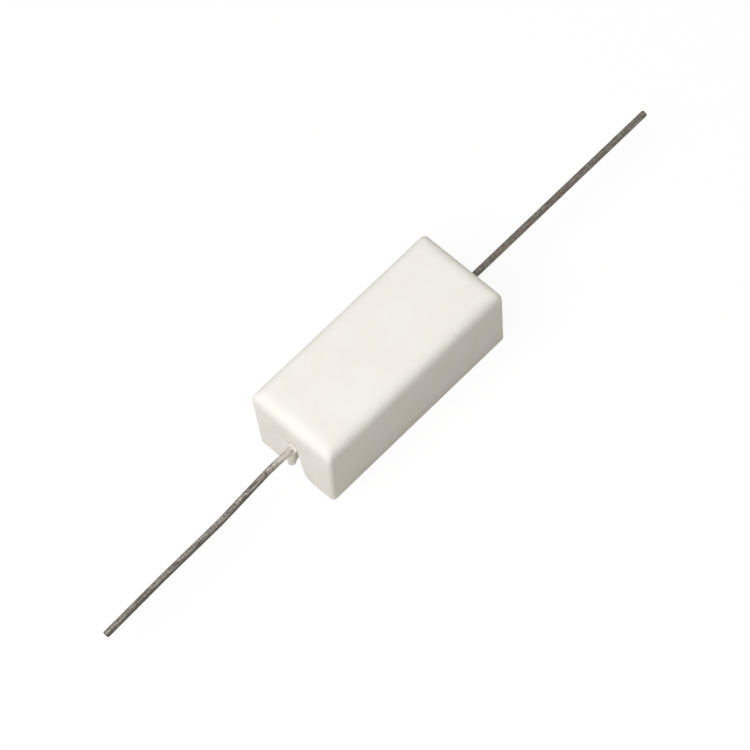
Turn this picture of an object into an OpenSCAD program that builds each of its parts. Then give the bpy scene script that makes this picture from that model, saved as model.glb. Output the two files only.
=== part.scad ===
// Wirewound resistor with axial leads, cast into a pressed ceramic trough.
// The leads run along X, the trough is open downwards and its closed face is on top.
// The origin is on the rim plane, midway along and across the case. Millimetres.

/* [Case] */
// Length of the ceramic case, along the leads
case_l = 22; // [20:0.5:26]
// Width of the ceramic case, below the rounding of its closed face
case_w = 9.6; // [8.5:0.1:12]
// Height of the ceramic case, from its rim to its closed face
case_h = 8.6; // [7.8:0.1:11]
// Rounding of the edges round the closed face
top_round = 1.6; // [0.8:0.1:2]
// Squareness of that rounding. 2 is a quarter circle, and more is flatter with a tighter turn
top_square = 2.7; // [2:0.1:3]
// Rounding of the upright corners at the rim
corner_round = 0.45; // [0.3:0.05:1.4]
// Distance that each long side leans in from there to the rim
side_draft = 0.25; // [0:0.05:0.4]
// Thickness of the two long walls, without that lean
side_wall = 1.5; // [1.2:0.1:1.8]
// Thickness of the two end walls
end_wall = 1.7; // [1.2:0.1:2]
// Thickness of the closed face
top_wall = 1.6; // [1.2:0.1:2]
// Rounding of the upright corners inside the trough
pocket_round = 0.6; // [0.3:0.1:1.2]

/* [Lead notches] */
// Radius of the arch over the lead, at the top of a notch
notch_r = 0.6; // [0.6:0.05:0.9]
// Height of the lead's axis above the centre of that arch
notch_drop = 0.2; // [0:0.05:0.3]
// Width of a notch where its flare begins
notch_foot_w = 2; // [1.6:0.1:3]
// Radius of the flare where a notch meets the rim
notch_flare_r = 1.2; // [0.4:0.1:1.4]

/* [Leads] */
// Diameter of the lead wire
lead_d = 0.65; // [0.5:0.05:0.75]
// Thickness of the tin coat, which the wire has outside the cement
tin_coat = 0.01; // [0.005:0.005:0.03]
// Length over which the coat tapers off where it meets the cement lump
coat_taper = 0.6; // [0.5:0.1:1.5]
// Depth of the leads' axis below the ceiling of the trough
axis_depth = 2.6; // [2.4:0.05:2.9]
// Length of each lead outside the case, measured along the case
lead_l = 23.5; // [19:0.1:38]
// Radius of the bends in the near lead
bend_r = 8; // [3:0.5:12]
// Straight run of the near lead from the case to its first bend
near_run_1 = 2.9; // [1:0.1:4]
// Angle of the first bend
near_angle_1 = 3.3; // [1:0.1:8]
// Straight run from the first bend to the second
near_run_2 = 5.8; // [2:0.1:6]
// Angle of the second bend, which turns the other way
near_angle_2 = 2.8; // [1:0.1:8]
// Straight run from the second bend to the third
near_run_3 = 6.8; // [2:0.1:9]
// Angle of the third bend, which turns the first way again
near_angle_3 = 1; // [0.5:0.1:4]

/* [Wound element] */
// Diameter of the fibreglass rod
core_d = 3; // [2.4:0.1:3.4]
// Thickness of the cement between an end cap and the end wall
cap_cover = 1.5; // [0.8:0.1:3]
// Diameter of the resistance wire
wire_d = 0.3; // [0.2:0.05:0.4]
// Distance from one turn of the wire to the next
turn_spacing = 0.9; // [0.7:0.1:1.4]
// Length of rod left bare at each end of the winding
core_bare = 0.25; // [0.1:0.05:0.6]
// Length of an end cap's skirt over the rod
cap_skirt = 2.8; // [2:0.1:4]
// Thickness of an end cap
cap_wall = 0.25; // [0.2:0.05:0.35]
// Diameter of the weld between a cap and its lead
weld_d = 1.3; // [1:0.1:1.6]
// Length of that weld along the lead
weld_l = 0.35; // [0.2:0.05:0.6]

/* [Cement] */
// Depth of the cement's face inside the rim
cement_recess = 0.3; // [0.1:0.05:0.8]
// Radius of the lower end of the cement lump in a notch
lump_r = 0.5; // [0.3:0.05:0.55]
// Height of the lump's lowest point above the rim
lump_foot = 1.4; // [0.4:0.1:2]
// Distance that the lump stands out from the case's end
lump_proud = 0.45; // [0.1:0.05:0.5]

/* [Fits] */
// Clearance all round between pieces that sit inside one another
fit_gap = 0.02; // [0.01:0.005:0.04]

/* [Hidden] */

curve_fn = 48;
// Segments in one quarter turn of the case's roundings
round_steps = 8;
// Amount by which a cut runs past the face that it opens
past = 1;

lead_r = lead_d / 2;
bare_r = lead_r - tin_coat;
case_end = case_l / 2;
pocket_l = case_l - 2 * end_wall;
pocket_w = case_w - 2 * side_wall;
pocket_top = case_h - top_wall;
lead_z = pocket_top - axis_depth;

// A notch's arch, and the height at which its flare begins
arch_z = lead_z - notch_drop;
arch_steps = 24;
flare_steps = 8;

// Where a cap's closed end begins and ends, from the middle of the rod, and the rod between them
cap_end = pocket_l / 2 - cap_cover;
cap_inside = cap_end - cap_wall;
core_l = 2 * (cap_inside - fit_gap);

// The winding. A chord between two rings dips towards the rod, so the coil's radius allows for that.
wire_sides = 6;
rings_per_turn = 18;
coil_r = (core_d / 2 + fit_gap) / cos(180 / rings_per_turn) + wire_d / 2;
coil_out_r = coil_r + wire_d / 2;
coil_l = core_l - 2 * core_bare - wire_d;
coil_rings = floor(coil_l / turn_spacing * rings_per_turn);
coil_start = -coil_rings / rings_per_turn * turn_spacing / 2;

cap_bore_r = coil_out_r + fit_gap;
cap_out_r = cap_bore_r + cap_wall;

// Headings of the near lead after each bend, in degrees from the case's axis
heading_1 = near_angle_1;
heading_2 = heading_1 - near_angle_2;
heading_3 = heading_2 + near_angle_3;

// Rings along the near lead: one at the weld, then several through each bend
lead_sides = 24;
bend_steps = 4;

// Points along an arc in the plane, from one angle to another
function arc(centre, r, from, to, steps) =
    [for (i = [0 : steps])
        let (a = from + (to - from) * i / steps)
        centre + r * [cos(a), sin(a)]];

// Points round a rectangle with rounded corners, clockwise from above
function rounded_plan(l, w, r) =
    [for (corner = [0 : 3])
        let (side_x = corner < 2 ? 1 : -1, side_y = corner == 0 || corner == 3 ? 1 : -1)
        each arc([side_x * (l / 2 - r), side_y * (w / 2 - r)], r,
                 90 - 90 * corner, -90 * corner, round_steps)];

// One ring of the wire's section, at an angle in degrees round the rod
function wire_ring(turned) =
    let (
        rise = turn_spacing / 360,
        run = coil_r * PI / 180,
        size = norm([rise, run]),
        out = [0, cos(turned), sin(turned)],
        round_about = [0, -sin(turned), cos(turned)],
        across = (run * [1, 0, 0] - rise * round_about) / size,
        centre = [coil_start + rise * turned, 0, lead_z] + coil_r * out
    )
    [for (k = [0 : wire_sides - 1])
        let (a = 360 * k / wire_sides)
        centre + wire_d / 2 * (cos(a) * out + sin(a) * across)];

// The place and heading that a run of wire comes to. A station is [x, y, heading].
function run_on(station, length) =
    station + [length * cos(station[2]), length * sin(station[2]), 0];

// Stations through a bend, from a station to a new heading
function bend_stations(start, to) =
    let (turn = to - start[2], r = sign(turn) * bend_r)
    [for (i = [0 : bend_steps])
        let (heading = start[2] + turn * i / bend_steps)
        [start[0] + r * (sin(heading) - sin(start[2])),
         start[1] + r * (cos(start[2]) - cos(heading)),
         heading]];

function last(list) = list[len(list) - 1];

// One ring round a station of the lead. It is as round as the bare wire.
function lead_ring(station) =
    [for (k = [0 : lead_sides - 1])
        let (a = 360 * k / lead_sides, out = bare_r * sin(a))
        [station[0] - out * sin(station[2]),
         station[1] + out * cos(station[2]),
         bare_r * cos(a)]];

// Faces of a solid swept through rings that have the same number of sides. Seen along the sweep,
// each ring's points go anticlockwise.
function sweep_faces(rings, sides) = concat(
    [[for (k = [sides - 1 : -1 : 0]) k]],
    [for (i = [0 : rings - 2], k = [0 : sides - 1])
        let (a = i * sides + k, b = i * sides + (k + 1) % sides)
        each [[a, b, b + sides], [a, b + sides, a + sides]]],
    [[for (k = [0 : sides - 1]) (rings - 1) * sides + k]]);

// The case without its pocket and notches, lofted through level rings.
// Its corners keep their rounding where the sides turn over into the closed face.
module case_block() {
    shoulder_z = case_h - top_round;
    // Each level is its height, and its inset from the ends and from the long sides
    levels = concat([[0, 0, side_draft]], [for (i = [0 : round_steps])
        let (a = 90 * i / round_steps, inset = top_round * (1 - pow(cos(a), 2 / top_square)))
        [shoulder_z + top_round * pow(sin(a), 2 / top_square), inset, inset]]);
    points = [for (level = levels)
        for (p = rounded_plan(case_l - 2 * level[1], case_w - 2 * level[2], corner_round))
            [p[0], p[1], level[0]]];
    polyhedron(points = points, faces = sweep_faces(len(levels), len(points) / len(levels)));
}

// The plan of the trough's inside, which the cement fills
module pocket_plan() {
    polygon(rounded_plan(pocket_l, pocket_w, pocket_round));
}

// The outline of a notch seen from the end: an arch over the lead, sides that spread downwards
// and a rounded flare on to the rim
module notch_outline() {
    foot = notch_foot_w / 2;
    flare = [foot + notch_flare_r, notch_flare_r];
    half = concat(
        arc([0, arch_z], notch_r, 90, 0, arch_steps / 2),
        arc(flare, notch_flare_r, 180, 270, flare_steps),
        [[foot + notch_flare_r, -past]]);
    polygon(concat(half, [for (i = [len(half) - 1 : -1 : 1]) [-half[i][0], half[i][1]]]));
}

module ceramic_case() color([0.95, 0.94, 0.90]) {
    difference() {
        case_block();
        translate([0, 0, -past])
            linear_extrude(pocket_top + past)
                pocket_plan();
        for (end = [0, 180])
            rotate([0, 0, end])
                translate([pocket_l / 2 - past, 0, 0])
                    rotate([90, 0, 90])
                        linear_extrude(end_wall + 2 * past)
                            notch_outline();
    }
}

// The cement lump in a notch: it fills the arch round the lead, hangs down in a rounded tongue
// and stands a little out of the case
module cement_lump() {
    arch_fill_r = notch_r - fit_gap;
    hull() {
        for (spot = [[arch_z, arch_fill_r], [lump_foot + lump_r, lump_r]]) {
            translate([case_end + lump_proud - spot[1], 0, spot[0]])
                sphere(r = spot[1], $fn = 32);
            translate([pocket_l / 2 - past, 0, spot[0]])
                rotate([0, 90, 0])
                    cylinder(r = spot[1], h = past, $fn = 32);
        }
    }
}

// A cylinder along X on the leads' axis, from one place to another
module axis_cylinder(from, to, r) {
    translate([from, 0, lead_z])
        rotate([0, 90, 0])
            cylinder(r = r, h = to - from, $fn = curve_fn);
}

module cement_fill() color([0.88, 0.87, 0.83]) {
    difference() {
        union() {
            translate([0, 0, cement_recess])
                linear_extrude(pocket_top - cement_recess)
                    pocket_plan();
            cement_lump();
            mirror([1, 0, 0]) cement_lump();
        }
        skirt_start = cap_inside - cap_skirt;
        axis_cylinder(-skirt_start - past, skirt_start + past, coil_out_r + fit_gap);
        for (end = [0, 180])
            rotate([0, 0, end]) {
                axis_cylinder(skirt_start - fit_gap, cap_end + fit_gap, cap_out_r + fit_gap);
                axis_cylinder(cap_end, cap_end + weld_l + fit_gap, weld_d / 2 + fit_gap);
                axis_cylinder(cap_end, case_end + lump_proud + past, lead_r + fit_gap);
            }
    }
}

module core_rod() color([0.90, 0.86, 0.72]) {
    axis_cylinder(-core_l / 2, core_l / 2, core_d / 2);
}

module resistance_wire() color([0.55, 0.50, 0.45]) {
    rings = coil_rings + 1;
    polyhedron(
        points = [for (i = [0 : rings - 1]) each wire_ring(360 * i / rings_per_turn)],
        faces = sweep_faces(rings, wire_sides));
}

// A cap pressed over the end of the winding, with its closed end towards +X
module end_cap() {
    difference() {
        axis_cylinder(cap_inside - cap_skirt, cap_end, cap_out_r);
        axis_cylinder(cap_inside - cap_skirt - past, cap_inside, cap_bore_r);
    }
}

module end_cap_near() color([0.72, 0.70, 0.64]) {
    mirror([1, 0, 0]) end_cap();
}

module end_cap_far() color([0.72, 0.70, 0.64]) {
    end_cap();
}

// The upset weld that joins a lead to its cap
module weld() {
    translate([cap_end, 0, lead_z])
        rotate([0, 90, 0])
            cylinder(r1 = weld_d / 2, r2 = bare_r, h = weld_l, $fn = curve_fn);
}

module lead_far() color([0.50, 0.49, 0.46]) {
    taper_from = case_end + lump_proud;
    coated_from = taper_from + coat_taper;
    weld();
    axis_cylinder(cap_end, taper_from, bare_r);
    translate([taper_from, 0, lead_z])
        rotate([0, 90, 0])
            cylinder(r1 = bare_r, r2 = lead_r, h = coat_taper, $fn = curve_fn);
    axis_cylinder(coated_from, case_end + lead_l, lead_r);
}

// The near lead is drawn along +X and then turned to point the other way, which leaves its first
// bend turning towards -Y. Its last run is a true cylinder.
module lead_near() color([0.50, 0.49, 0.46]) {
    weld_station = [cap_end, 0, 0];
    bend_1 = bend_stations(run_on(weld_station, case_end + near_run_1 - cap_end), heading_1);
    bend_2 = bend_stations(run_on(last(bend_1), near_run_2), heading_2);
    bend_3 = bend_stations(run_on(last(bend_2), near_run_3), heading_3);
    stations = concat([weld_station], bend_1, bend_2, bend_3);
    last_run = (case_end + lead_l - last(bend_3)[0]) / cos(heading_3);
    rotate([0, 0, 180]) {
        weld();
        translate([0, 0, lead_z])
            polyhedron(
                points = [for (station = stations) each lead_ring(station)],
                faces = sweep_faces(len(stations), lead_sides));
        translate([last(bend_3)[0], last(bend_3)[1], lead_z])
            rotate([0, 90, heading_3])
                cylinder(r = lead_r, h = last_run, $fn = curve_fn);
    }
}

ceramic_case();
cement_fill();
core_rod();
resistance_wire();
end_cap_near();
end_cap_far();
lead_near();
lead_far();
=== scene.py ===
"""Axial wirewound resistor: a pressed ceramic trough, cast full of cement round a wound rod.

A tinned wire lead leaves through a notch in each end of the trough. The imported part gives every
size that can be read from it. Lengths are in metres.
"""
import logging
import math
from collections.abc import Callable, Iterator
from contextlib import contextmanager
from dataclasses import dataclass, field
from enum import Enum

import bmesh
import bpy
from mathutils import Matrix, Vector


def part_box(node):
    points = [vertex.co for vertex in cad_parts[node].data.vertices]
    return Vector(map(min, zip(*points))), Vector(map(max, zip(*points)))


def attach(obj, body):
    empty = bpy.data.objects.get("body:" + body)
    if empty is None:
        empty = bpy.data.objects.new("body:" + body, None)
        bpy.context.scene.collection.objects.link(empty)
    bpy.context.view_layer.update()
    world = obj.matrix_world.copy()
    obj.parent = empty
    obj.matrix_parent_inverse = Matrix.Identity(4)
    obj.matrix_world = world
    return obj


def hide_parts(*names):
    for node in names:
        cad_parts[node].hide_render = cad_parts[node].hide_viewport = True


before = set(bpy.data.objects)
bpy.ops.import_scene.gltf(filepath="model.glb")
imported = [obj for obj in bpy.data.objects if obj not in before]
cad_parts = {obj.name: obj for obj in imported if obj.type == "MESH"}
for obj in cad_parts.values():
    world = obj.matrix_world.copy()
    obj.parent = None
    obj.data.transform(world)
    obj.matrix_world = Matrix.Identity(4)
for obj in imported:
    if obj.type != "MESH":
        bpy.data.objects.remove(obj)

Colour = tuple[float, float, float]
Span = tuple[float, float]
Piece = bpy.types.Object
Socket = bpy.types.NodeSocket

LOG = logging.getLogger("resistor")
MM = 0.001
# Points nearer to each other than this are in one place
CLOSE = 1e-6
# The turn that lays a new circle or cylinder along X
ALONG_X = (0, math.pi / 2, 0)
WHITE: Colour = (1.0, 1.0, 1.0)
BODY = "root"
PHOTO_PX = 750


class Pick(Enum):
    """What kind of element a selection is made of."""

    VERT = "VERT"
    EDGE = "EDGE"
    FACE = "FACE"


class End(Enum):
    """An end of the resistor, and the way along X that it points."""

    NEAR = -1
    FAR = 1


class Tooling(Enum):
    """What a tool does to the piece that it is combined with."""

    CUT = "DIFFERENCE"
    JOIN = "UNION"


class Sum(Enum):
    """How two values are worked into one."""

    ADD = "ADD"
    SUBTRACT = "SUBTRACT"
    MULTIPLY = "MULTIPLY"
    DIVIDE = "DIVIDE"
    LARGER = "MAXIMUM"


class Mixing(Enum):
    """How one colour is laid over another."""

    COVER = "MIX"
    MULTIPLY = "MULTIPLY"


# Modelling by hand

def deselect_all() -> None:
    """Leaves nothing selected."""
    for obj in bpy.context.selected_objects:
        obj.select_set(False)


def activate(obj: Piece) -> None:
    """Makes one object the only selected one, and the active one.

    Args:
        obj: The object.
    """
    deselect_all()
    obj.select_set(True)
    bpy.context.view_layer.objects.active = obj


@contextmanager
def editing(obj: Piece) -> Iterator[None]:
    """Opens a piece in edit mode, and closes it again at the end of the block.

    Args:
        obj: The piece.
    """
    activate(obj)
    bpy.ops.object.mode_set(mode="EDIT")
    yield
    bpy.ops.object.mode_set(mode="OBJECT")


def pick(obj: Piece, kind: Pick, test: Callable[[Vector], bool]) -> int:
    """Selects elements of the piece in edit mode by the place of their middle.

    Args:
        obj: The piece that is being edited.
        kind: Which kind of element to select.
        test: Says whether an element with its middle there is wanted.

    Returns:
        How many elements were selected.
    """
    bpy.ops.mesh.select_mode(type=kind.value)
    bpy.ops.mesh.select_all(action="DESELECT")
    mesh = bmesh.from_edit_mesh(obj.data)
    if kind is Pick.VERT:
        found = [v for v in mesh.verts if test(v.co)]
    elif kind is Pick.EDGE:
        found = [e for e in mesh.edges if test((e.verts[0].co + e.verts[1].co) / 2)]
    else:
        found = [f for f in mesh.faces if test(f.calc_center_median())]
    for item in found:
        item.select_set(True)
    mesh.select_flush_mode()
    bmesh.update_edit_mesh(obj.data)
    return len(found)


def shift(offset: tuple[float, float, float]) -> None:
    """Moves what is selected in edit mode."""
    bpy.ops.transform.translate(value=offset)


def extrude(offset: tuple[float, float, float]) -> None:
    """Extrudes what is selected in edit mode, and moves the new part."""
    bpy.ops.mesh.extrude_region_move(TRANSFORM_OT_translate={"value": offset})


def settle(obj: Piece) -> None:
    """Puts the piece's place and size into its mesh, with its object at the origin."""
    activate(obj)
    bpy.ops.object.transform_apply(location=True, rotation=True, scale=True)


def rounded_block(name: str, size: Span, corner: float, low: float, high: float,
                  steps: int = 8) -> Piece:
    """Models an upright block whose plan is a rectangle with rounded corners.

    Args:
        name: The new object's name.
        size: Its length along X and its width along Y.
        corner: The radius of its upright corners.
        low: The height of its underside.
        high: The height of its top.
        steps: Segments in each corner.

    Returns:
        The block, which stands over the origin.
    """
    deselect_all()
    bpy.ops.mesh.primitive_plane_add(size=1.0, location=(0, 0, low))
    obj = bpy.context.object
    obj.name = name
    with editing(obj):
        bpy.ops.mesh.select_all(action="SELECT")
        bpy.ops.transform.resize(value=(size[0], size[1], 1))
        bpy.ops.mesh.bevel(offset=corner, segments=steps, affect="VERTICES")
        extrude((0, 0, high - low))
    settle(obj)
    return obj


def round_bar(radius: float, length: float, height: float, sides: int = 48) -> Piece:
    """Models a round bar along X.

    Args:
        radius: Its radius.
        length: Its length, half of it to each side of the origin.
        height: The height of its axis.
        sides: Segments round it.

    Returns:
        The bar.
    """
    deselect_all()
    bpy.ops.mesh.primitive_cylinder_add(vertices=sides, radius=radius, depth=length,
                                        location=(0, 0, height), rotation=ALONG_X)
    obj = bpy.context.object
    settle(obj)
    return obj


def close_up(obj: Piece) -> None:
    """Merges doubled vertices, drops flat faces, fills any open rim and turns faces outwards.

    Args:
        obj: The piece.
    """
    with editing(obj):
        bpy.ops.mesh.select_all(action="SELECT")
        bpy.ops.mesh.remove_doubles(threshold=CLOSE)
        bpy.ops.mesh.dissolve_degenerate(threshold=CLOSE)
        bpy.ops.mesh.select_mode(type="EDGE")
        bpy.ops.mesh.select_all(action="DESELECT")
        bpy.ops.mesh.select_non_manifold(extend=False, use_wire=False, use_multi_face=False,
                                         use_non_contiguous=False, use_verts=False)
        if any(e.select for e in bmesh.from_edit_mesh(obj.data).edges):
            bpy.ops.mesh.edge_face_add()
        bpy.ops.mesh.select_all(action="SELECT")
        bpy.ops.mesh.normals_make_consistent(inside=False)


def apply_modifier(obj: Piece, kind: str, **settings: object) -> None:
    """Adds a modifier and applies it at once.

    Args:
        obj: The piece.
        kind: The modifier's type.
        **settings: Its attributes by name.
    """
    activate(obj)
    modifier = obj.modifiers.new(kind.lower(), kind)
    for key, value in settings.items():
        setattr(modifier, key, value)
    bpy.ops.object.modifier_apply(modifier=modifier.name)


def combine(obj: Piece, tool: Piece, how: Tooling) -> None:
    """Cuts a tool from the piece, or joins it on, and removes the tool.

    Args:
        obj: The piece that is kept.
        tool: The object that is used up.
        how: Whether it is cut away or joined on.
    """
    apply_modifier(obj, "BOOLEAN", object=tool, operation=how.value, solver="EXACT")
    bpy.data.objects.remove(tool, do_unlink=True)


def rough(name: str, size: float, depth: int = 2) -> bpy.types.Texture:
    """Makes a cloud texture for a Displace modifier.

    Args:
        name: The texture's name.
        size: The size of its lumps.
        depth: How many times finer lumps are added.

    Returns:
        The texture.
    """
    texture = bpy.data.textures.new(name, "CLOUDS")
    texture.noise_scale = size
    texture.noise_depth = depth
    return texture


# Shading

class Shading:
    """A shader node tree that is being put together."""

    def __init__(self, tree: bpy.types.NodeTree) -> None:
        """Takes the tree of a group, a material or a world, and empties it."""
        self.tree = tree
        tree.nodes.clear()

    def node(self, kind: str, **settings: object) -> bpy.types.Node:
        """Adds a node.

        Args:
            kind: The node's type.
            **settings: Its attributes by name.

        Returns:
            The new node.
        """
        node = self.tree.nodes.new(kind)
        for key, value in settings.items():
            setattr(node, key, value)
        return node

    def link(self, start: Socket, end: Socket) -> None:
        """Joins two sockets."""
        self.tree.links.new(start, end)

    def feed(self, end: Socket, value: Socket | Colour | float) -> None:
        """Gives an input its value.

        Args:
            end: The input.
            value: The socket that it is linked to, or its colour or number.
        """
        if isinstance(value, Socket):
            self.link(value, end)
        elif isinstance(value, tuple):
            end.default_value = (*value, 1.0)
        else:
            end.default_value = value

    def place(self) -> Socket:
        """Adds the piece's own coordinates."""
        return self.node("ShaderNodeTexCoord").outputs["Object"]

    def axes(self) -> dict[str, Socket]:
        """Adds the piece's own coordinates, taken apart.

        Returns:
            The sockets of X, Y and Z.
        """
        parts = self.node("ShaderNodeSeparateXYZ")
        self.link(self.place(), parts.inputs[0])
        return {name: parts.outputs[name] for name in "XYZ"}

    def maths(self, how: Sum, first: Socket | float, second: Socket | float,
              clamp: bool = False) -> Socket:
        """Works out a value from two others.

        Args:
            how: What is done with them.
            first: The first value.
            second: The second value.
            clamp: Whether the result is held between 0 and 1.

        Returns:
            The result's socket.
        """
        node = self.node("ShaderNodeMath", operation=how.value, use_clamp=clamp)
        self.feed(node.inputs[0], first)
        self.feed(node.inputs[1], second)
        return node.outputs[0]

    def blend(self, first: Socket | Colour, second: Socket | Colour, mask: Socket | float,
              how: Mixing = Mixing.COVER) -> Socket:
        """Mixes two colours by a mask.

        Args:
            first: The colour where the mask is 0.
            second: The colour where the mask is 1.
            mask: The mask, or one number for it.
            how: The kind of mixing.

        Returns:
            The mixed colour's socket.
        """
        node = self.node("ShaderNodeMix", data_type="RGBA", blend_type=how.value)
        self.feed(node.inputs["A"], first)
        self.feed(node.inputs["B"], second)
        self.feed(node.inputs["Factor"], mask)
        return node.outputs["Result"]


class Group(Shading):
    """A shader node group that is made once and placed in every material that uses it."""

    def __init__(self, name: str, inputs: dict[str, float], outputs: list[str]) -> None:
        """Makes the group with its sockets.

        Args:
            name: The group's name.
            inputs: The named number inputs and their usual values.
            outputs: The named number outputs.
        """
        super().__init__(bpy.data.node_groups.new(name, "ShaderNodeTree"))
        for key, value in inputs.items():
            socket = self.tree.interface.new_socket(name=key, in_out="INPUT",
                                                    socket_type="NodeSocketFloat")
            socket.default_value = value
        for key in outputs:
            self.tree.interface.new_socket(name=key, in_out="OUTPUT",
                                           socket_type="NodeSocketFloat")
        self.input = self.node("NodeGroupInput").outputs
        self.output = self.node("NodeGroupOutput").inputs

    def lay(self, texture: bpy.types.Node, place: Socket, size: str) -> None:
        """Lays a texture at a place, its pattern as large as the input of that name says."""
        self.link(place, texture.inputs["Vector"])
        self.link(self.maths(Sum.DIVIDE, 1.0, self.input[size]), texture.inputs["Scale"])

    def put_out(self, value: Socket, *names: str) -> None:
        """Links a value to the group's outputs of these names."""
        for name in names:
            self.link(value, self.output[name])


def fired_grain() -> Group:
    """Fine grain of a fired or cast body: Height for bump, and Tone round 0.5.

    Returns:
        The group. Its inputs are Size, the grain's size in metres, and Detail.
    """
    group = Group("fired_grain", {"Size": 0.1 * MM, "Detail": 4.0}, ["Height", "Tone"])
    noise = group.node("ShaderNodeTexNoise")
    group.lay(noise, group.place(), "Size")
    group.link(group.input["Detail"], noise.inputs["Detail"])
    group.put_out(noise.outputs["Fac"], "Height", "Tone")
    return group


def pores() -> Group:
    """Scattered pin-holes: Mask is 1 in a hole, and Height falls into it.

    Returns:
        The group. Its inputs are Size, the distance between holes in metres, and Share, how much
        of that a hole fills.
    """
    group = Group("pores", {"Size": 0.5 * MM, "Share": 0.15}, ["Mask", "Height"])
    cells = group.node("ShaderNodeTexVoronoi", feature="F1")
    group.lay(cells, group.place(), "Size")
    edge = group.node("ShaderNodeMapRange", interpolation_type="SMOOTHSTEP")
    group.link(cells.outputs["Distance"], edge.inputs["Value"])
    group.link(group.input["Share"], edge.inputs["From Max"])
    group.put_out(edge.outputs["Result"], "Height")
    group.put_out(group.maths(Sum.SUBTRACT, 1.0, edge.outputs["Result"]), "Mask")
    return group


def drawn_lines() -> Group:
    """Die lines along X on drawn wire and pressed caps: Height for bump, and Tone round 0.5.

    Returns:
        The group. Its inputs are Width, a line's width in metres, and Length, its length in widths.
    """
    group = Group("drawn_lines", {"Width": 0.05 * MM, "Length": 40.0}, ["Height", "Tone"])
    axes = group.axes()
    drawn_out = group.node("ShaderNodeCombineXYZ")
    along = group.maths(Sum.DIVIDE, axes["X"], group.input["Length"])
    group.link(along, drawn_out.inputs["X"])
    group.link(axes["Y"], drawn_out.inputs["Y"])
    group.link(axes["Z"], drawn_out.inputs["Z"])
    noise = group.node("ShaderNodeTexNoise")
    noise.inputs["Detail"].default_value = 2.0
    group.lay(noise, drawn_out.outputs[0], "Width")
    group.put_out(noise.outputs["Fac"], "Height", "Tone")
    return group


@dataclass
class Effects:
    """The shared node groups, each made once."""

    grain: Group = field(default_factory=fired_grain)
    pores: Group = field(default_factory=pores)
    lines: Group = field(default_factory=drawn_lines)


class MaterialMaker(Shading):
    """A material that is being put together, with its Principled BSDF in place."""

    def __init__(self, name: str, roughness: float, metallic: float = 0.0,
                 specular: float = 0.5) -> None:
        """Starts the material.

        Args:
            name: The material's name.
            roughness: The roughness where nothing is linked to it.
            metallic: The same for metallic.
            specular: The specular level, all over.
        """
        self.roughness = roughness
        self.material = bpy.data.materials.new(name)
        self.material.use_nodes = True
        super().__init__(self.material.node_tree)
        self.shader = self.node("ShaderNodeBsdfPrincipled")
        self.shader.inputs["Roughness"].default_value = roughness
        self.shader.inputs["Metallic"].default_value = metallic
        self.shader.inputs["Specular IOR Level"].default_value = specular
        out = self.node("ShaderNodeOutputMaterial")
        self.link(self.shader.outputs["BSDF"], out.inputs["Surface"])

    def effect(self, group: Group, **values: float) -> bpy.types.Node:
        """Places a shared effect in the material.

        Args:
            group: The effect.
            **values: Its inputs by name.

        Returns:
            The effect's node.
        """
        node = self.node("ShaderNodeGroup", node_tree=group.tree)
        for key, value in values.items():
            node.inputs[key].default_value = value
        return node

    def ramp(self, value: Socket, first: Colour, second: Colour, span: Span) -> Socket:
        """Turns a value into a colour.

        Args:
            value: The value, from 0 to 1.
            first: The colour up to the start of the span.
            second: The colour from its end.
            span: The values between which one colour turns into the other.

        Returns:
            The colour's socket.
        """
        node = self.node("ShaderNodeValToRGB")
        stops = zip(node.color_ramp.elements, span, (first, second))
        for element, place, colour in stops:
            element.position = place
            element.color = (*colour, 1.0)
        self.link(value, node.inputs["Fac"])
        return node.outputs["Color"]

    def spread(self, value: Socket, low: float, high: float, span: Span = (0.0, 1.0)) -> Socket:
        """Maps a value from one span to another, and holds it there.

        Args:
            value: The value.
            low: What the start of the span turns into.
            high: What its end turns into.
            span: The span that the value comes from.

        Returns:
            The mapped value's socket.
        """
        node = self.node("ShaderNodeMapRange")
        self.link(value, node.inputs["Value"])
        names = ("From Min", "From Max", "To Min", "To Max")
        for name, number in zip(names, (*span, low, high)):
            node.inputs[name].default_value = number
        return node.outputs["Result"]

    def vary(self, value: Socket, by: Span, span: Span = (0.0, 1.0)) -> Socket:
        """Makes the roughness go from its level plus the first amount to that plus the second."""
        return self.spread(value, self.roughness + by[0], self.roughness + by[1], span)

    def bump(self, height: Socket, depth: float, under: Socket | None = None) -> Socket:
        """Adds a bump.

        Args:
            height: Its height, from 0 to 1.
            depth: How deep it is.
            under: The normal of the bump that it lies over, if there is one.

        Returns:
            The normal's socket.
        """
        node = self.node("ShaderNodeBump")
        node.inputs["Distance"].default_value = depth
        self.link(height, node.inputs["Height"])
        if under is not None:
            self.link(under, node.inputs["Normal"])
        return node.outputs["Normal"]

    def finish(self, colour: Socket, roughness: Socket, normal: Socket) -> bpy.types.Material:
        """Joins what varies over the surface to the shader.

        Args:
            colour: The colour's socket.
            roughness: The roughness's socket.
            normal: The normal's socket.

        Returns:
            The finished material.
        """
        self.link(colour, self.shader.inputs["Base Color"])
        self.link(roughness, self.shader.inputs["Roughness"])
        self.link(normal, self.shader.inputs["Normal"])
        return self.material


# Finishes

@dataclass(frozen=True)
class Holes:
    """Pin-holes or open pores in a fired or cast face, and how far they stain it."""

    colour: Colour
    stain: float
    gap: float
    share: float
    depth: float

    def sink(self, maker: MaterialMaker, effects: Effects, colour: Socket,
             normal: Socket) -> tuple[Socket, Socket]:
        """Sinks the holes into a face.

        Args:
            maker: The material that is being made.
            effects: The shared effects.
            colour: The face's colour.
            normal: The face's normal.

        Returns:
            The colour and the normal with the holes in them.
        """
        holes = maker.effect(effects.pores, Size=self.gap, Share=self.share)
        stain = maker.spread(holes.outputs["Mask"], 0.0, self.stain)
        colour = maker.blend(colour, self.colour, stain)
        return colour, maker.bump(holes.outputs["Height"], self.depth, normal)


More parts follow.
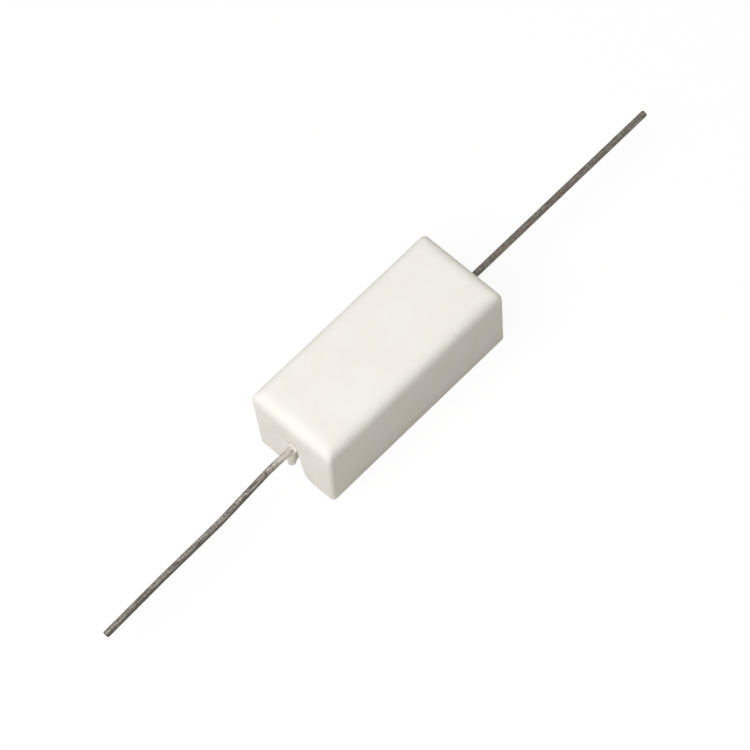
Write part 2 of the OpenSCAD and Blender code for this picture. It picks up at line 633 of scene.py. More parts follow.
@dataclass(frozen=True)
class PressedCeramic:
    """White pressed and fired ceramic: warm white, dry, with faint clouds and a few pin-holes."""

    pale: Colour = (0.882, 0.858, 0.819)
    warm: Colour = (0.862, 0.836, 0.784)
    roughness: float = 0.66
    rough_by: Span = (-0.06, 0.08)
    specular: float = 0.06
    cloud: float = 3.2 * MM
    cloud_span: Span = (0.36, 0.64)
    swell: float = 1.1 * MM
    swell_depth: float = 0.035 * MM
    grain: float = 0.09 * MM
    grain_depth: float = 0.010 * MM
    holes: Holes = Holes((0.70, 0.66, 0.57), stain=0.5, gap=1.3 * MM, share=0.055,
                         depth=0.030 * MM)

    def material(self, effects: Effects) -> bpy.types.Material:
        """Makes the material.

        Args:
            effects: The shared effects.

        Returns:
            The material.
        """
        maker = MaterialMaker("pressed_ceramic", self.roughness, specular=self.specular)
        clouds = maker.effect(effects.grain, Size=self.cloud, Detail=3.0)
        grain = maker.effect(effects.grain, Size=self.grain, Detail=3.0)
        swell = maker.effect(effects.grain, Size=self.swell, Detail=2.0)
        colour = maker.ramp(clouds.outputs["Tone"], self.warm, self.pale, self.cloud_span)
        normal = maker.bump(swell.outputs["Height"], self.swell_depth)
        normal = maker.bump(grain.outputs["Height"], self.grain_depth, normal)
        colour, normal = self.holes.sink(maker, effects, colour, normal)
        roughness = maker.vary(swell.outputs["Tone"], self.rough_by)
        return maker.finish(colour, roughness, normal)


@dataclass(frozen=True)
class CastCement:
    """Silica cement: greyer than the ceramic, sandy, with open pores."""

    pale: Colour = (0.910, 0.890, 0.845)
    sandy: Colour = (0.880, 0.858, 0.802)
    roughness: float = 0.82
    rough_by: Span = (-0.08, 0.1)
    specular: float = 0.3
    cloud: float = 1.4 * MM
    cloud_span: Span = (0.34, 0.66)
    sand: float = 0.12 * MM
    sand_span: Span = (0.38, 0.60)
    sand_shade: Colour = (0.94, 0.93, 0.92)
    sand_depth: float = 0.030 * MM
    holes: Holes = Holes((0.50, 0.48, 0.42), stain=0.7, gap=0.42 * MM, share=0.17,
                         depth=0.080 * MM)

    def material(self, effects: Effects) -> bpy.types.Material:
        """Makes the material.

        Args:
            effects: The shared effects.

        Returns:
            The material.
        """
        maker = MaterialMaker("cast_cement", self.roughness, specular=self.specular)
        clouds = maker.effect(effects.grain, Size=self.cloud, Detail=4.0)
        sand = maker.effect(effects.grain, Size=self.sand, Detail=5.0)
        colour = maker.ramp(clouds.outputs["Tone"], self.sandy, self.pale, self.cloud_span)
        speckle = maker.ramp(sand.outputs["Tone"], self.sand_shade, WHITE, self.sand_span)
        colour = maker.blend(colour, speckle, 1.0, Mixing.MULTIPLY)
        normal = maker.bump(sand.outputs["Height"], self.sand_depth)
        colour, normal = self.holes.sink(maker, effects, colour, normal)
        roughness = maker.vary(sand.outputs["Tone"], self.rough_by)
        return maker.finish(colour, roughness, normal)


@dataclass(frozen=True)
class TinnedWire:
    """Dull tinned copper wire: brownish grey, with die lines, specks and stains.

    It can carry painted shade from its flanks down, a darkening that stands in for the shade on
    its underside, and be duller towards its tip, with a pale film of cement by the case and a nick
    that a tool left. A reach runs along X from its start to its end.
    """

    name: str
    light: Colour
    dull: Colour
    roughness: float = 0.42
    rough_by: Span = (0.12, -0.10)
    metal: float = 0.62
    specular: float = 0.35
    line_w: float = 0.10 * MM
    line_stretch: float = 14.0
    line_span: Span = (0.3, 0.7)
    streak_edge: float = 0.17
    lumps: float = 0.020 * MM
    speck: float = 0.16 * MM
    speck_span: Span = (0.36, 0.62)
    speck_lumps: float = 0.7
    speck_dark: float = 0.55
    speck_light: Colour = (1.25, 1.23, 1.20)
    stain: Colour = (0.17, 0.13, 0.105)
    stain_size: float = 1.7 * MM
    stain_span: Span = (0.42, 0.68)
    stain_most: float = 0.7
    axis_z: float = 4.4 * MM
    # Painted shade on the wire's underside: its strength, its colour and the heights over the axis
    # between which it fades out
    painted_underside_shade: float = 0.0
    painted_underside_shade_colour: Colour = (0.080, 0.070, 0.059)
    painted_underside_shade_from: float = 0.322 * MM
    painted_underside_shade_to: float = 0.175 * MM
    # Duller towards the tip: how far the colour goes towards the dull one, and the reach along X
    # over which that fades
    tip_dulling: float = 0.35
    tip_dulling_reach: Span = (0.0, 0.0)
    film: Colour = (0.70, 0.665, 0.60)
    film_reach: Span | None = None
    film_flake: float = 0.5 * MM
    flake_span: Span = (0.3, 0.7)
    film_broken: float = 0.45
    film_metal: float = 0.25
    nick: tuple[float, float, float] | None = None
    nick_r: float = 0.12 * MM
    nick_core: float = 0.3
    nick_shape: tuple[float, float, float] = (1.0, 0.45, 0.8)
    nick_colour: Colour = (0.045, 0.040, 0.035)
    nick_stain: float = 0.9
    nick_depth: float = 0.05 * MM

    def film_mask(self, maker: MaterialMaker, effects: Effects) -> Socket:
        """Masks the film: all over at the case, and broken up further along the wire.

        Args:
            maker: The material that is being made.
            effects: The shared effects.

        Returns:
            The mask's socket.
        """
        near = maker.spread(maker.axes()["X"], 0.0, 1.0, self.film_reach)
        flakes = maker.effect(effects.grain, Size=self.film_flake, Detail=4.0)
        broken = maker.spread(flakes.outputs["Tone"], -self.film_broken, self.film_broken,
                              self.flake_span)
        total = maker.maths(Sum.ADD, near, broken, clamp=True)
        return maker.maths(Sum.MULTIPLY, total, near, clamp=True)

    def painted_underside_shade_mask(self, maker: MaterialMaker) -> Socket:
        """Masks the painted shade: none along the top of the wire, and most from its flanks down.
        """
        span = (self.axis_z + self.painted_underside_shade_to, self.axis_z + self.painted_underside_shade_from)
        return maker.spread(maker.axes()["Z"], self.painted_underside_shade, 0.0, span)

    def nick_mask(self, maker: MaterialMaker) -> Socket:
        """Masks the nick.

        Args:
            maker: The material that is being made.

        Returns:
            The mask's socket.
        """
        value = maker.place()
        for operation, by in (("SUBTRACT", self.nick), ("MULTIPLY", self.nick_shape)):
            node = maker.node("ShaderNodeVectorMath", operation=operation)
            maker.link(value, node.inputs[0])
            node.inputs[1].default_value = by
            value = node.outputs["Vector"]
        gap = maker.node("ShaderNodeVectorMath", operation="LENGTH")
        maker.link(value, gap.inputs[0])
        return maker.spread(gap.outputs["Value"], 1.0, 0.0,
                            (self.nick_r * self.nick_core, self.nick_r))

    def material(self, effects: Effects) -> bpy.types.Material:
        """Makes the material.

        Args:
            effects: The shared effects.

        Returns:
            The material.
        """
        maker = MaterialMaker(self.name, self.roughness, self.metal, self.specular)
        lines = maker.effect(effects.lines, Width=self.line_w, Length=self.line_stretch)
        specks = maker.effect(effects.grain, Size=self.speck, Detail=3.0)
        stains = maker.effect(effects.grain, Size=self.stain_size, Detail=3.0)
        colour = maker.ramp(lines.outputs["Tone"], self.dull, self.light,
                            (0.5 - self.streak_edge, 0.5 + self.streak_edge))
        dots = maker.ramp(specks.outputs["Tone"], (self.speck_dark,) * 3, self.speck_light,
                          self.speck_span)
        colour = maker.blend(colour, dots, 1.0, Mixing.MULTIPLY)
        stained = maker.spread(stains.outputs["Tone"], 0.0, self.stain_most, self.stain_span)
        colour = maker.blend(colour, self.stain, stained)
        roughness = maker.vary(lines.outputs["Tone"], self.rough_by, self.line_span)
        normal = maker.bump(lines.outputs["Height"], self.lumps)
        normal = maker.bump(specks.outputs["Height"], self.lumps * self.speck_lumps, normal)
        if self.painted_underside_shade > 0:
            # Painted shade: darkens the wire from its flanks down and leaves its top lit
            colour = maker.blend(colour, self.painted_underside_shade_colour, self.painted_underside_shade_mask(maker))
            # Duller and darker towards the tip
            tip_dulling = maker.spread(maker.axes()["X"], self.tip_dulling, 0.0, self.tip_dulling_reach)
            colour = maker.blend(colour, self.dull, tip_dulling)
        if self.film_reach is not None:
            film = self.film_mask(maker, effects)
            colour = maker.blend(colour, self.film, film)
            metal = maker.spread(film, self.metal, self.metal * self.film_metal)
            maker.link(metal, maker.shader.inputs["Metallic"])
        if self.nick is not None:
            dent = self.nick_mask(maker)
            stain = maker.spread(dent, 0.0, self.nick_stain)
            colour = maker.blend(colour, self.nick_colour, stain)
            normal = maker.bump(maker.spread(dent, 1.0, 0.0), self.nick_depth, normal)
        return maker.finish(colour, roughness, normal)


@dataclass(frozen=True)
class HiddenMetal:
    """Plated steel or resistance alloy inside the cement: satin, with die lines and a heat tint."""

    name: str
    light: Colour
    dark: Colour
    roughness: float = 0.38
    rough_by: Span = (-0.08, 0.12)
    line_w: float = 0.06 * MM
    line_stretch: float = 25.0
    line_depth: float = 0.008 * MM
    cloud: float = 1.2 * MM
    cloud_span: Span = (0.35, 0.65)

    def material(self, effects: Effects) -> bpy.types.Material:
        """Makes the material.

        Args:
            effects: The shared effects.

        Returns:
            The material.
        """
        maker = MaterialMaker(self.name, self.roughness, metallic=1.0)
        lines = maker.effect(effects.lines, Width=self.line_w, Length=self.line_stretch)
        clouds = maker.effect(effects.grain, Size=self.cloud, Detail=3.0)
        colour = maker.ramp(clouds.outputs["Tone"], self.dark, self.light, self.cloud_span)
        roughness = maker.vary(lines.outputs["Tone"], self.rough_by)
        normal = maker.bump(lines.outputs["Height"], self.line_depth)
        return maker.finish(colour, roughness, normal)


@dataclass(frozen=True)
class GlassFibre:
    """The winding's rod: bonded glass fibre, pale straw, with fibres along it."""

    pale: Colour = (0.78, 0.72, 0.52)
    dark: Colour = (0.60, 0.53, 0.34)
    roughness: float = 0.55
    rough_by: Span = (-0.1, 0.1)
    fibre_w: float = 0.09 * MM
    fibre_stretch: float = 60.0
    fibre_span: Span = (0.35, 0.65)
    fibre_depth: float = 0.03 * MM

    def material(self, effects: Effects) -> bpy.types.Material:
        """Makes the material.

        Args:
            effects: The shared effects.

        Returns:
            The material.
        """
        maker = MaterialMaker("glass_fibre", self.roughness)
        fibres = maker.effect(effects.lines, Width=self.fibre_w, Length=self.fibre_stretch)
        colour = maker.ramp(fibres.outputs["Tone"], self.dark, self.pale, self.fibre_span)
        roughness = maker.vary(fibres.outputs["Tone"], self.rough_by)
        normal = maker.bump(fibres.outputs["Height"], self.fibre_depth)
        return maker.finish(colour, roughness, normal)


# Sub-assemblies

def hand_in(obj: Piece, node: str, material: bpy.types.Material) -> None:
    """Dresses a finished piece and puts it in its node's place.

    Args:
        obj: The modelled piece.
        node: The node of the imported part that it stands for.
        material: Its finish.
    """
    obj.data.materials.clear()
    obj.data.materials.append(material)
    settle(obj)
    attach(obj, BODY)
    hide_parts(node)
    LOG.info("%s stands for %s: %d faces", obj.name, node, len(obj.data.polygons))


@dataclass
class Trough:
    """The pressed ceramic case: open downwards, with a flared notch in each end wall.

    Its sides turn over into the closed face along a superellipse, which top_square makes squarer.
    """

    low: Vector
    high: Vector
    pocket_top: float
    axis_z: float
    top_round: float = 1.6 * MM
    top_square: float = 2.7
    corner_round: float = 0.45 * MM
    side_draft: float = 0.25 * MM
    side_wall: float = 1.5 * MM
    end_wall: float = 1.7 * MM
    pocket_round: float = 0.6 * MM
    notch_r: float = 0.6 * MM
    notch_drop: float = 0.2 * MM
    notch_foot_w: float = 2.0 * MM
    notch_flare_r: float = 1.2 * MM
    edge_break: float = 0.09 * MM
    edge_angle: float = math.radians(35)
    smooth_angle: float = math.radians(30)
    round_steps: int = 10
    tool_past: float = 1.0 * MM

    @property
    def length(self) -> float:
        """The case's length."""
        return self.high.x - self.low.x

    @property
    def width(self) -> float:
        """The case's width."""
        return self.high.y - self.low.y

    @property
    def pocket(self) -> Span:
        """The trough's inside length and width."""
        return self.length - 2 * self.end_wall, self.width - 2 * self.side_wall

    @property
    def arch_z(self) -> float:
        """The height of the centre of a notch's arch."""
        return self.axis_z - self.notch_drop

    def block(self) -> Piece:
        """Models the outside: an upright block whose sides turn over into the closed face.

        Returns:
            The block, still solid.
        """
        shoulder = self.high.z - self.top_round
        obj = rounded_block("pressed_case", (self.length, self.width), self.corner_round,
                            self.low.z, shoulder, self.round_steps)
        with editing(obj):
            for side in (-1, 1):
                pick(obj, Pick.VERT, lambda v: abs(v.z - self.low.z) < CLOSE and v.y * side > 0)
                shift((0, -side * self.side_draft, 0))
        power = 2 / self.top_square
        height, inset = shoulder, 0.0
        for step in range(1, self.round_steps + 1):
            angle = math.pi / 2 * step / self.round_steps
            next_height = shoulder + self.top_round * math.sin(angle) ** power
            tuck = self.top_round * (1 - max(math.cos(angle), 0.0) ** power) - inset
            with editing(obj):
                pick(obj, Pick.FACE, lambda m: abs(m.z - height) < CLOSE)
                extrude((0, 0, next_height - height))
                for side_x in (-1, 1):
                    for side_y in (-1, 1):
                        pick(obj, Pick.VERT, lambda v: abs(v.z - next_height) < CLOSE
                             and v.x * side_x > 0 and v.y * side_y > 0)
                        shift((-side_x * tuck, -side_y * tuck, 0))
            height, inset = next_height, inset + tuck
        close_up(obj)
        return obj

    def notch_tool(self) -> Piece:
        """Models what cuts the straight part of both notches.

        Returns:
            The tool, which reaches from one end to the other.
        """
        reach = self.length + 2 * self.tool_past
        foot = self.notch_foot_w
        deselect_all()
        bpy.ops.mesh.primitive_plane_add(size=1.0, location=(0, 0, self.low.z - self.tool_past))
        obj = bpy.context.object
        with editing(obj):
            bpy.ops.mesh.select_all(action="SELECT")
            bpy.ops.transform.resize(value=(reach, foot, 1))
            extrude((0, 0, self.notch_flare_r + self.tool_past))
            extrude((0, 0, self.arch_z - self.low.z - self.notch_flare_r))
            bpy.ops.transform.resize(value=(1, 2 * self.notch_r / foot, 1))
        settle(obj)
        close_up(obj)
        return obj

    def flare_notches(self, obj: Piece) -> None:
        """Rounds the four corners where the notches' sides meet the rim.

        Args:
            obj: The case.
        """
        foot = self.notch_foot_w / 2
        with editing(obj):
            count = pick(obj, Pick.EDGE, lambda m: abs(abs(m.y) - foot) < CLOSE
                         and abs(m.z - self.low.z) < CLOSE)
            bpy.ops.mesh.bevel(offset=self.notch_flare_r, segments=self.round_steps,
                               affect="EDGES")
        LOG.info("%d notch corners flared", count)

    def build(self, material: bpy.types.Material) -> None:
        """Models the case and dresses it.

        Args:
            material: The ceramic.
        """
        obj = self.block()
        pocket_tool = rounded_block("pocket_tool", self.pocket, self.pocket_round,
                                    self.low.z - self.tool_past, self.pocket_top)
        close_up(pocket_tool)
        arch_tool = round_bar(self.notch_r, self.length + 2 * self.tool_past, self.arch_z)
        for tool in (pocket_tool, self.notch_tool(), arch_tool):
            combine(obj, tool, Tooling.CUT)
        close_up(obj)
        self.flare_notches(obj)
        close_up(obj)
        apply_modifier(obj, "BEVEL", width=self.edge_break, segments=3, limit_method="ANGLE",
                       angle_limit=self.edge_angle, harden_normals=False)
        close_up(obj)
        activate(obj)
        bpy.ops.object.shade_smooth_by_angle(angle=self.smooth_angle)
        hand_in(obj, "ceramic_case", material)


@dataclass
class Cement:
    """The cast cement: it fills the trough, dips between its walls and bulges out of each notch.

    Each of creep_steps is a share of the creep's width and a share of its height.
    """

    trough: Trough
    lead_r: float
    recess: float = 0.3 * MM
    creep: float = 0.13 * MM
    creep_w: float = 0.55 * MM
    creep_steps: tuple[Span, ...] = ((0.45, 0.75), (0.55, 0.35))
    lump_r: float = 0.43 * MM
    lump_foot: float = 1.4 * MM
    lump_proud: float = 0.57 * MM
    lump_brow: float = 0.32 * MM
    lump_lean: float = 0.25 * MM
    lump_neck: float = 0.35
    waist: float = 0.74
    waist_lean: float = 0.06 * MM
    tunnel_r: float = 2.13 * MM
    tunnel_end: float = 7.82 * MM
    weld_bore_r: float = 0.67 * MM
    weld_bore_end: float = 8.17 * MM
    grip: float = 0.055 * MM
    voxel: float = 0.105 * MM
    smoothing: float = 0.5
    smooth_rounds: int = 3
    sand: float = 0.022 * MM
    sand_size: float = 0.22 * MM
    sand_share: float = 1.6
    sand_level: float = 0.6
    swell_size: float = 0.9 * MM
    swell_share: float = 2.0

    def block(self) -> Piece:
        """Models the cement in the trough, with its face drawn up along the walls.

        Returns:
            The block.
        """
        slack = self.sand
        length, width = self.trough.pocket
        face = self.trough.low.z + self.recess
        obj = rounded_block("cast_cement", (length - 2 * slack, width - 2 * slack),
                            self.trough.pocket_round, face - self.creep,
                            self.trough.pocket_top - slack)
        close_up(obj)
        with editing(obj):
            pick(obj, Pick.FACE, lambda m: abs(m.z - face + self.creep) < CLOSE)
            for wide, deep in self.creep_steps:
                bpy.ops.mesh.inset(thickness=self.creep_w * wide)
                shift((0, 0, self.creep * deep))
        return obj

    def lump(self, end: End) -> Piece:
        """Models the rounded tongue of cement in a notch, which hangs a little to one side.

        Args:
            end: The notch's end.

        Returns:
            The tongue.
        """
        top_r = self.trough.notch_r + self.sand
        brow = self.trough.length / 2 + self.lump_brow
        top = Vector((end.value * (brow - top_r), 0, self.trough.arch_z))
        low_z = self.trough.low.z + self.lump_foot + self.lump_r
        share = self.lump_r / top_r
        deselect_all()
        bpy.ops.mesh.primitive_uv_sphere_add(segments=32, ring_count=16, radius=top_r,
                                             location=top)
        obj = bpy.context.object
        obj.name = "lump"
        with editing(obj):
            neck = self.lump_neck * top_r
            pick(obj, Pick.VERT, lambda v: v.z >= neck and v.x * end.value < CLOSE)
            shift((-end.value * (self.trough.end_wall + self.lump_brow), 0, 0))
            pick(obj, Pick.VERT, lambda v: v.z < neck)
            bpy.ops.transform.resize(value=(share,) * 3, center_override=top)
            shift((end.value * (self.lump_proud - self.lump_brow + top_r - self.lump_r),
                   -end.value * self.lump_lean, low_z - top.z))
            pick(obj, Pick.EDGE, lambda m: low_z + top_r < m.z + top.z < top.z)
            bpy.ops.mesh.subdivide(number_cuts=1)
            pick(obj, Pick.VERT, lambda v: low_z + top_r < v.z + top.z < top.z)
            bpy.ops.transform.resize(value=(1, self.waist, 1))
            shift((0, -end.value * self.waist_lean, 0))
        settle(obj)
        return obj

    def build(self, material: bpy.types.Material) -> None:
        """Models the cement and dresses it.

        Args:
            material: The cement's finish.
        """
        obj = self.block()
        for end in End:
            combine(obj, self.lump(end), Tooling.JOIN)
        bores = ((self.tunnel_r, self.tunnel_end), (self.weld_bore_r, self.weld_bore_end),
                 (self.lead_r - self.grip, self.trough.length))
        for radius, reach in bores:
            combine(obj, round_bar(radius, 2 * reach, self.trough.axis_z), Tooling.CUT)
        apply_modifier(obj, "REMESH", mode="VOXEL", voxel_size=self.voxel, use_smooth_shade=True)
        apply_modifier(obj, "SMOOTH", factor=self.smoothing, iterations=self.smooth_rounds)
        apply_modifier(obj, "DISPLACE", texture=rough("cement_swell", self.swell_size),
                       strength=self.swell_share * self.sand, mid_level=0.5)
        apply_modifier(obj, "DISPLACE", texture=rough("cement_sand", self.sand_size, 3),
                       strength=self.sand_share * self.sand, mid_level=self.sand_level)
        hand_in(obj, "cement_fill", material)


@dataclass(frozen=True)
class Bend:
    """A straight run of wire and the turn at its end.

    The turn is in degrees. At the near end a positive one goes towards -Y.
    """

    run: float
    turn: float


@dataclass
class Lead:
    """A tinned wire lead, from its weld inside the cement to its cut end."""

    end: End
    axis_z: float
    tip_x: float
    radius: float
    bends: tuple[Bend, ...] = ()
    start_x: float = 7.8 * MM
    weld_r: float = 0.65 * MM
    weld_l: float = 0.35 * MM
    bend_r: float = 8.0 * MM
    bend_steps: int = 6
    sides: int = 32
    ring_gap: float = 0.12 * MM
    cut_break: float = 0.05 * MM
    skin: float = 0.006 * MM
    skin_size: float = 0.7 * MM
    smooth_angle: float = math.radians(40)

    def stations(self) -> list[tuple[float, float, float]]:
        """Works out the wire's route in the level plane, drawn along +X.

        Returns:
            Places and headings, (x, y, heading in radians), from the weld to the cut end.
        """
        x, y, heading = self.start_x + self.weld_l, 0.0, 0.0
        route = [(self.start_x, 0.0, 0.0), (x, y, heading)]
        for number, bend in enumerate(self.bends):
            run = bend.run - (self.weld_l if number == 0 else 0.0)
            x += run * math.cos(heading)
            y += run * math.sin(heading)
            route.append((x, y, heading))
            start, turn = heading, math.radians(bend.turn)
            r = math.copysign(self.bend_r, turn)
            x0, y0 = x, y
            for step in range(1, self.bend_steps + 1):
                heading = start + turn * step / self.bend_steps
                x = x0 + r * (math.sin(heading) - math.sin(start))
                y = y0 + r * (math.cos(start) - math.cos(heading))
                route.append((x, y, heading))
        last = (self.tip_x - x) / math.cos(heading)
        route.append((self.tip_x, y + last * math.sin(heading), heading))
        return route

    def short_steps(self) -> list[tuple[float, float, float]]:
        """Puts more places into the straight runs of the route, a ring gap apart.

        Returns:
            The finer route.
        """
        route = self.stations()
        fine = route[:2]
        for x, y, heading in route[2:]:
            x0, y0, _ = fine[-1]
            parts = max(1, round(math.hypot(x - x0, y - y0) / self.ring_gap))
            for part in range(1, parts + 1):
                share = part / parts
                fine.append((x0 + (x - x0) * share, y0 + (y - y0) * share, heading))
        return fine

    def sweep(self) -> Piece:
        """Extrudes a ring of wire along its route and closes both ends.

        Returns:
            The wire, along +X.
        """
        route = self.short_steps()
        x, y, heading = route[0]
        deselect_all()
        bpy.ops.mesh.primitive_circle_add(vertices=self.sides, radius=self.weld_r,
                                          fill_type="NGON", location=(x, y, self.axis_z),
                                          rotation=ALONG_X)
        obj = bpy.context.object
        obj.name = f"lead_wire_{self.end.name.lower()}"
        settle(obj)
        with editing(obj):
            bpy.ops.mesh.select_all(action="SELECT")
            for number, (next_x, next_y, next_heading) in enumerate(route[1:]):
                extrude((next_x - x, next_y - y, 0))
                centre = (next_x, next_y, self.axis_z)
                if number == 0:
                    share = self.radius / self.weld_r
                    bpy.ops.transform.resize(value=(share,) * 3, center_override=centre)
                if next_heading != heading:
                    bpy.ops.transform.rotate(value=heading - next_heading, orient_axis="Z",
                                             center_override=centre)
                x, y, heading = next_x, next_y, next_heading
        close_up(obj)
        return obj

    def trim(self, obj: Piece) -> None:
        """Breaks the edge that the cutter left round the wire's end.

        Args:
            obj: The wire, along +X.
        """
        with editing(obj):
            pick(obj, Pick.FACE, lambda m: m.x > self.tip_x - CLOSE)
            bpy.ops.mesh.bevel(offset=self.cut_break, segments=2, affect="EDGES")

    def build(self, material: bpy.types.Material, node: str) -> None:
        """Models the lead and dresses it.

        Args:
            material: The wire's finish.
            node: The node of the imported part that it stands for.
        """
        obj = self.sweep()
        self.trim(obj)
        if self.end is End.NEAR:
            obj.rotation_euler.z = math.pi
            settle(obj)
        skin = rough(f"skin_{self.end.name.lower()}", self.skin_size)
        apply_modifier(obj, "DISPLACE", texture=skin, strength=2 * self.skin, mid_level=1.0)
        activate(obj)
        bpy.ops.object.shade_smooth_by_angle(angle=self.smooth_angle)
        hand_in(obj, node, material)


@dataclass
class WoundElement:
    """The rod, its winding and its caps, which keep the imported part's own meshes."""

    rod: GlassFibre = GlassFibre()
    cap: HiddenMetal = HiddenMetal("cap_plating", (0.62, 0.60, 0.55), (0.42, 0.40, 0.36))
    winding: HiddenMetal = HiddenMetal("resistance_alloy", (0.46, 0.42, 0.37),
                                       (0.26, 0.23, 0.20))

    def dress(self, effects: Effects) -> None:
        """Gives each of the hidden pieces its finish.

        Args:
            effects: The shared effects.
        """
        cap = self.cap.material(effects)
        winding = self.winding.material(effects)
        finishes = {
            "core_rod": self.rod.material(effects),
            "resistance_wire": winding,
            "end_cap_near": cap,
            "end_cap_far": cap,
        }
        for node, material in finishes.items():
            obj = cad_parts[node]
            for slot in obj.material_slots:
                slot.material = material
            LOG.info("%s dressed", node)


# Studio

@dataclass
class Studio:
    """A pale floor, an even sky, two soft lamps and the photograph's camera.

    The key lamp hangs above the near end, and a weak fill lamp stands beyond the far end. A
    lamp's level is how bright a white surface that faces it turns out, where 1 is white.
    """

    azimuth: float = -38.999
    elevation: float = 61.774
    roll: float = -8.090
    distance: float = 0.393173
    px_per_metre: float = 11378.0
    aim_height: float = 4.0 * MM
    aim_px: Span = (380.117, 367.184)
    sensor: float = 36.0
    clip_start: float = 10 * MM
    lamp_distance: float = 0.5
    lamp_size: float = 0.45
    lamp_colour: Colour = (0.99, 0.99, 1.0)
    key_from: tuple[float, float, float] = (-0.515, 0.0, 0.857)
    key_level: float = 1.035
    fill_from: tuple[float, float, float] = (0.95, 0.0, 0.31)
    fill_level: float = 0.143
    sky_colour: Colour = (0.237, 0.234, 0.209)
    floor_colour: Colour = (0.609, 0.596, 0.556)
    floor_seen: float = 0.92
    floor_shade: float = 0.08
    floor_size: float = 4.0
    floor_drop: float = 0.02 * MM

    def camera(self) -> None:
        """Places the camera where the photograph was taken from."""
        a, e, r = (math.radians(v) for v in (self.azimuth, self.elevation, self.roll))
        back = Vector((math.sin(a) * math.cos(e), -math.cos(a) * math.cos(e), math.sin(e)))
        level = Vector((math.cos(a), math.sin(a), 0.0))
        upright = back.cross(level)
        right = math.cos(r) * level + math.sin(r) * upright
        up = math.cos(r) * upright - math.sin(r) * level
        data = bpy.data.cameras.new("camera")
        data.sensor_width = self.sensor
        data.lens = self.sensor * self.px_per_metre * self.distance / PHOTO_PX
        data.shift_x = (PHOTO_PX / 2 - self.aim_px[0]) / PHOTO_PX
        data.shift_y = (self.aim_px[1] - PHOTO_PX / 2) / PHOTO_PX
        data.clip_start = self.clip_start
        obj = bpy.data.objects.new("camera", data)
        bpy.context.scene.collection.objects.link(obj)
        turned = Matrix((right, up, back)).transposed()
        place = Vector((0, 0, self.aim_height)) + back * self.distance
        obj.matrix_world = Matrix.Translation(place) @ turned.to_4x4()
        bpy.context.scene.camera = obj

    def lamp(self, name: str, direction: tuple[float, float, float], level: float) -> None:
        """Hangs a soft round lamp.

        Args:
            name: The lamp's name.
            direction: The way from the resistor to the lamp.
            level: How bright it is.
        """
        toward = Vector(direction).normalized()
        data = bpy.data.lights.new(name, "AREA")
        data.shape = "DISK"
        data.size = self.lamp_size
        data.energy = level * math.pi ** 2 * self.lamp_distance ** 2
        data.color = self.lamp_colour
        obj = bpy.data.objects.new(name, data)
        bpy.context.scene.collection.objects.link(obj)
        obj.rotation_mode = "QUATERNION"
        obj.rotation_quaternion = toward.to_track_quat("Z", "Y")
        obj.location = toward * self.lamp_distance

    def seen(self, shading: Shading) -> Socket:
        """Masks the rays that see the background white: from the camera, or off metal and glass.

        Args:
            shading: The sky's or the floor's shading.

        Returns:
            The mask's socket.
        """
        path = shading.node("ShaderNodeLightPath")
        total = path.outputs["Is Camera Ray"]
        for name in ("Is Glossy Ray", "Is Transmission Ray"):
            total = shading.maths(Sum.LARGER, total, path.outputs[name])
        return total

    def sky(self) -> None:
        """Sets the even light all round, which is seen as white."""
        world = bpy.data.worlds.new("studio")
        world.use_nodes = True
        shading = Shading(world.node_tree)
        light = shading.node("ShaderNodeBackground")
        colour = shading.blend(self.sky_colour, WHITE, self.seen(shading))
        shading.link(colour, light.inputs["Color"])
        out = shading.node("ShaderNodeOutputWorld")
        shading.link(light.outputs["Background"], out.inputs["Surface"])
        bpy.context.scene.world = world

    def floor(self) -> None:
        """Lays the floor, which is seen as white and keeps a faint shadow."""
        deselect_all()
        bpy.ops.mesh.primitive_plane_add(size=self.floor_size, location=(0, 0, -self.floor_drop))
        obj = bpy.context.object
        obj.name = "floor"
        material = bpy.data.materials.new("floor_white")
        material.use_nodes = True
        shading = Shading(material.node_tree)
        lit = shading.node("ShaderNodeBsdfDiffuse")
        shading.feed(lit.inputs["Color"], self.floor_colour)
        shade = shading.node("ShaderNodeBsdfDiffuse")
        shading.feed(shade.inputs["Color"], (self.floor_shade,) * 3)
        glow = shading.node("ShaderNodeEmission")
        glow.inputs["Strength"].default_value = self.floor_seen
        both = shading.node("ShaderNodeAddShader")
        shading.link(shade.outputs[0], both.inputs[0])
        shading.link(glow.outputs[0], both.inputs[1])
        mix = shading.node("ShaderNodeMixShader")
        shading.link(self.seen(shading), mix.inputs["Fac"])
        shading.link(lit.outputs[0], mix.inputs[1])
        shading.link(both.outputs[0], mix.inputs[2])
        out = shading.node("ShaderNodeOutputMaterial")
        shading.link(mix.outputs[0], out.inputs["Surface"])
        obj.data.materials.append(material)

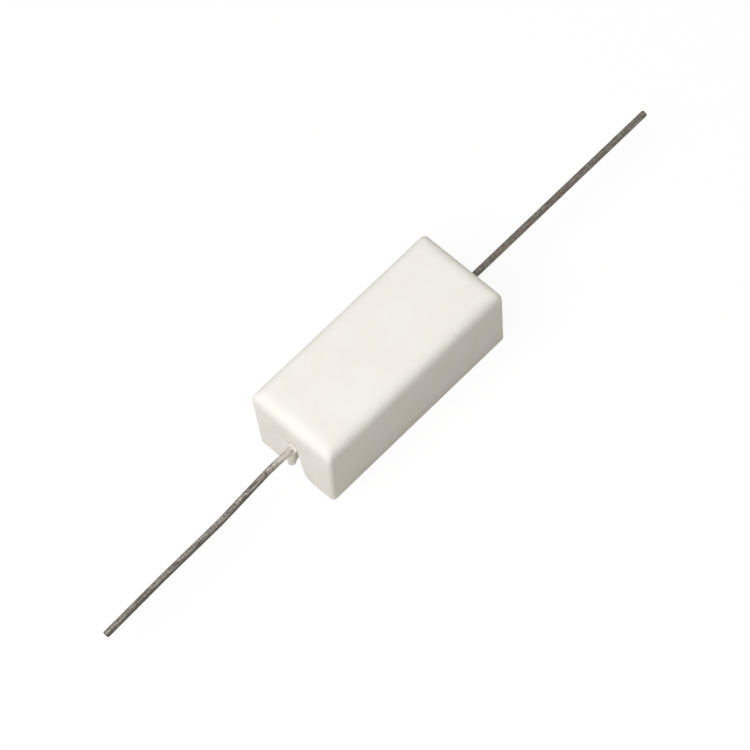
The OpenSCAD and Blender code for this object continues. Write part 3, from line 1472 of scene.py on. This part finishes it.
    def build(self) -> None:
        """Sets up the whole studio."""
        bpy.context.scene.view_settings.view_transform = "Standard"
        self.camera()
        self.lamp("key", self.key_from, self.key_level)
        self.lamp("fill", self.fill_from, self.fill_level)
        self.sky()
        self.floor()
        LOG.info("studio set up")


def near_wire(case_end: float, axis_z: float) -> TinnedWire:
    """Settles the near lead's finish: the lead that the photograph shows from close by.

    Args:
        case_end: How far the case's end is from the middle.
        axis_z: The height of the lead's axis.

    Returns:
        The finish.
    """
    return TinnedWire(
        "tinned_wire_near",
        light=(0.59, 0.556, 0.500),
        dull=(0.112, 0.102, 0.090),
        roughness=0.55,
        metal=0.12,
        streak_edge=0.10,
        lumps=0.03 * MM,
        speck=0.2 * MM,
        speck_dark=0.42,
        stain=(0.17, 0.145, 0.122),
        axis_z=axis_z,
        # Painted shade on the underside of the wire
        painted_underside_shade=0.85,
        # Duller towards the tip over this reach
        tip_dulling_reach=(-case_end - 17 * MM, -case_end - 7 * MM),
        film_reach=(-case_end - 5.5 * MM, -case_end),
        nick=(-case_end - 3.38 * MM, -0.14 * MM, axis_z + 0.28 * MM),
    )


def far_wire_shaded() -> TinnedWire:
    """Settles the far lead's finish: the tinned wire in much darker colours, which paint in the
    shade that the far lead lies in.
    """
    # Painted shade: these colours are darker copies of the near lead's, standing in for the shade
    # on the far lead
    return TinnedWire("tinned_wire_far_painted_shade", light=(0.246, 0.236, 0.206), dull=(0.098, 0.092, 0.080),
                      line_w=0.08 * MM, lumps=0.012 * MM)


def main() -> None:
    """Builds and dresses the resistor and sets up the studio."""
    logging.basicConfig(level=logging.INFO, format="%(name)s: %(message)s")
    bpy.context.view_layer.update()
    Studio().build()

    effects = Effects()
    low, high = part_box("ceramic_case")
    cement_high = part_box("cement_fill")[1]
    far_low, far_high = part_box("lead_far")
    axis_z = (far_low.z + far_high.z) / 2
    lead_r = 0.325 * MM

    trough = Trough(low, high, cement_high.z, axis_z)
    trough.build(PressedCeramic().material(effects))
    Cement(trough, lead_r).build(CastCement().material(effects))

    case_end = trough.length / 2
    bends = (Bend(case_end + 2.9 * MM - Lead.start_x, 3.3), Bend(5.8 * MM, -2.8),
             Bend(6.8 * MM, 1.0))
    near = Lead(End.NEAR, axis_z, far_high.x, lead_r, bends)
    near.build(near_wire(case_end, axis_z).material(effects), "lead_near")
    far = Lead(End.FAR, axis_z, far_high.x, lead_r)
    # The far lead's darker colours are painted shade
    far.build(far_wire_shaded().material(effects), "lead_far")
    WoundElement().dress(effects)


if __name__ == "__main__":
    main()
